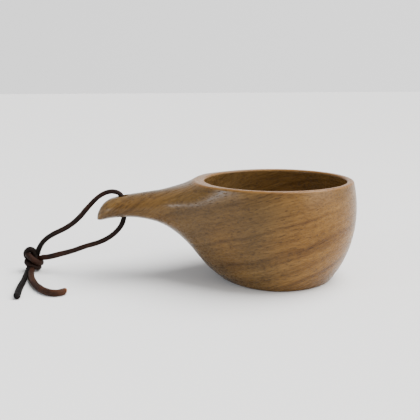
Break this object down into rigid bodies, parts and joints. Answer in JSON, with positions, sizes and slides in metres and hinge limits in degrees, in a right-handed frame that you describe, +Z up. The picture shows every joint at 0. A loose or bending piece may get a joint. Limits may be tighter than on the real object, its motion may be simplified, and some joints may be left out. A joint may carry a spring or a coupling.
{
  "type": "kuksa wooden cup with lanyard",
  "caption": "Hand-carved wooden drinking cup whose round bowl runs into a tongue handle, with a knotted leather lace looped through the strap hole.",
  "frame": {"origin": "middle of the flat foot under the bowl, on the resting plane", "axes": "+Z up out of the bowl's mouth along the bowl's centre line; -X along the handle; Y across the cup"},
  "size_m": [0.205, 0.097, 0.059],
  "materials": {
    "oiled_wood": "oiled, satin",
    "leather_lace": "dark, creased"
  },
  "bodies": {
    "cup": {"cup_body": "oiled_wood"},
    "lanyard": {"lace_upper": "leather_lace", "lace_lower": "leather_lace", "lace_knot": "leather_lace", "lace_tail_dark": "leather_lace", "lace_tail_light": "leather_lace"}
  },
  "joints": [
    {"name": "lanyard_swivel", "type": "hinge", "parent": "cup", "child": "lanyard", "pos_m": [-0.091, 0, 0.043], "axis": [0, 0, 1], "range_deg": [-90, 90]}
  ]
}
